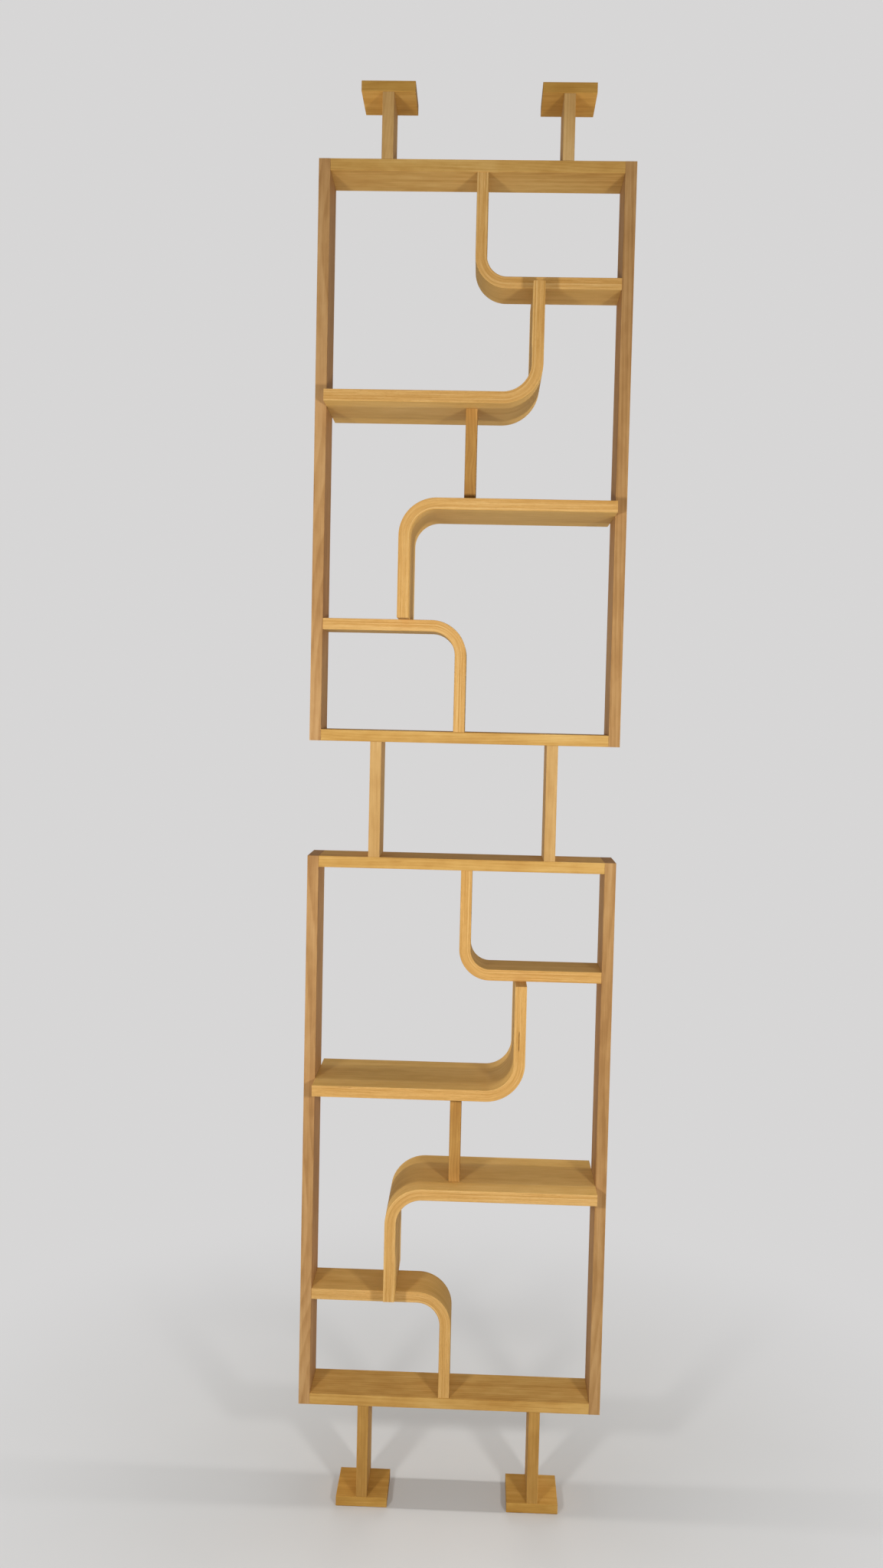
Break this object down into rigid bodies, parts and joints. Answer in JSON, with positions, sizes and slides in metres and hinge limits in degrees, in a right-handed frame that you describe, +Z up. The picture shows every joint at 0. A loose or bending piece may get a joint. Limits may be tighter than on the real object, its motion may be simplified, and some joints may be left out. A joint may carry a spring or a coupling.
{
  "type": "room divider bookcase",
  "caption": "Tall open divider of stacked beech frames with bent plywood shelves, on legs with square foot plates and with screw-out ceiling plates.",
  "frame": {"origin": "bottom centre of the divider, midway between the foot plates, on the floor", "axes": "+Z up, -Y towards the viewer of the picture (the back is the same), +X to the right"},
  "size_m": [0.545, 0.18, 2.522],
  "materials": {
    "solid_beech": "satin varnish, honey coloured solid beech",
    "bent_beech": "satin varnish, bent beech plywood with its plies showing on the edges",
    "post_beech": "satin varnish, solid beech",
    "plate_beech": "satin varnish, solid beech",
    "dowel_beech": "raw turned beech",
    "screw_steel": "zinc plated",
    "insert_brass": "plain turned"
  },
  "bodies": {
    "frame": {"lower_left_upright": "solid_beech", "lower_right_upright": "solid_beech", "lower_top_board": "solid_beech", "lower_bottom_board": "solid_beech", "lower_slim_shelf_top": "bent_beech", "lower_deep_shelf_top": "bent_beech", "lower_deep_shelf_low": "bent_beech", "lower_slim_shelf_low": "bent_beech", "lower_short_post": "post_beech", "lower_frame_dowels": "dowel_beech", "lower_shelf_dowels": "dowel_beech", "upper_left_upright": "solid_beech", "upper_right_upright": "solid_beech", "upper_top_board": "solid_beech", "upper_bottom_board": "solid_beech", "upper_slim_shelf_top": "bent_beech", "upper_deep_shelf_top": "bent_beech", "upper_deep_shelf_low": "bent_beech", "upper_slim_shelf_low": "bent_beech", "upper_short_post": "post_beech", "upper_frame_dowels": "dowel_beech", "upper_shelf_dowels": "dowel_beech", "left_leg": "post_beech", "left_mid_post": "post_beech", "left_top_post": "post_beech", "left_foot_plate": "plate_beech", "right_leg": "post_beech", "right_mid_post": "post_beech", "right_top_post": "post_beech", "right_foot_plate": "plate_beech", "leg_dowels": "dowel_beech", "mid_post_dowels": "dowel_beech", "top_post_dowels": "dowel_beech", "foot_screws": "screw_steel", "post_inserts": "insert_brass"},
    "left_plate": {"left_ceiling_plate": "plate_beech", "left_plate_insert": "insert_brass", "left_stud": "screw_steel"},
    "right_plate": {"right_ceiling_plate": "plate_beech", "right_plate_insert": "insert_brass", "right_stud": "screw_steel"}
  },
  "joints": [
    {"name": "left_plate_lift", "type": "slide", "parent": "frame", "child": "left_plate", "axis": [0, 0, 1], "range_m": [0, 0.04]},
    {"name": "right_plate_lift", "type": "slide", "parent": "frame", "child": "right_plate", "axis": [0, 0, 1], "range_m": [0, 0.04]}
  ]
}
